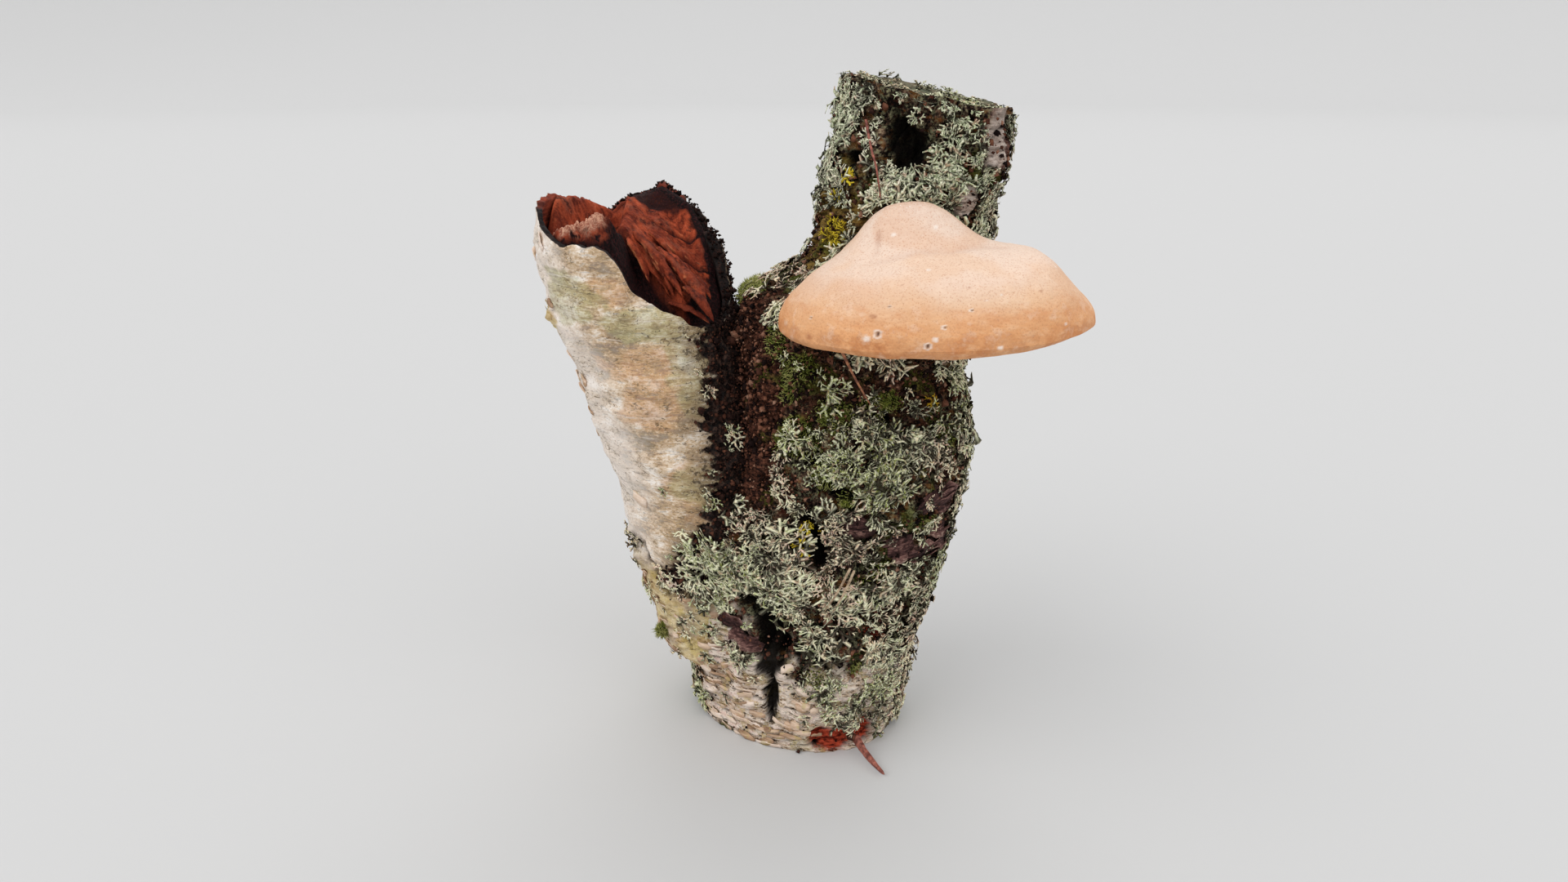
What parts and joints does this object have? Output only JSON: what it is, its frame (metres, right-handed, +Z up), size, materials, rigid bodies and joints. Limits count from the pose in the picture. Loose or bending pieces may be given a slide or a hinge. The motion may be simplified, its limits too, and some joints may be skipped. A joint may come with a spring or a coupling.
{
  "type": "bracket fungus on a forked birch log",
  "caption": "Domed bracket fungus on an upright forked piece of birch, lichen-covered, with a broken hollow limb and a flat base cut to stand on.",
  "frame": {"origin": "centre of the base cut, on the surface that the piece stands on", "axes": "+Z up along the log, -Y towards the side that the bracket grows from, +X to the right seen from that side"},
  "size_m": [0.2335, 0.1637, 0.3112],
  "materials": {
    "rough_bark": "rough",
    "birch_bark": "satin",
    "rotted_wood": "matte",
    "fungus_skin": "matte",
    "cut_wood": "rough",
    "lichen": "matte",
    "moss": "matte",
    "dry_needle": "satin",
    "red_fibre": "matte"
  },
  "bodies": {
    "root": {"trunk": "rough_bark", "upright_stem": "rough_bark", "broken_limb": "birch_bark", "rotted_heartwood": "rotted_wood", "bracket_cap": "fungus_skin", "crotch_moss": "moss", "moss_sprig": "moss", "pine_needle_1": "dry_needle", "pine_needle_2": "dry_needle", "cap_needle": "dry_needle", "root_fibre": "red_fibre", "base_splinter": "red_fibre"}
  },
  "joints": []
}
